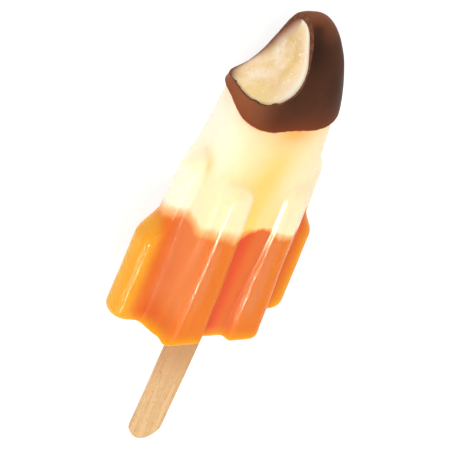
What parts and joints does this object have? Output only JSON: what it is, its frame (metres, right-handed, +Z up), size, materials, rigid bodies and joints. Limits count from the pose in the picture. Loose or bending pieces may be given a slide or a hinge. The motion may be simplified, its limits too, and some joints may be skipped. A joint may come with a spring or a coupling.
{
  "type": "ice lolly",
  "caption": "Ribbed rocket-shaped fruit ice lolly in an orange and a yellow layer, with a bitten chocolate-coated tip, lying on its back on a flat wooden stick.",
  "frame": {"origin": "middle of the bounding box's underside, on the surface that the lolly lies on", "axes": "+Y along the lolly from the stick towards the tip, +X across its width, +Z up, out of the front face"},
  "size_m": [0.0566, 0.1516, 0.0292],
  "materials": {
    "orange_ice": "translucent frozen fruit ice, thin frost on the ribs",
    "yellow_ice": "translucent frozen fruit ice, thin frost on the ribs",
    "chocolate": "satin chocolate coating",
    "stick_wood": "plain unfinished birch with fine grain"
  },
  "bodies": {
    "root": {"ice_orange": "orange_ice", "ice_yellow": "yellow_ice", "chocolate_cap": "chocolate", "stick": "stick_wood"}
  },
  "joints": []
}
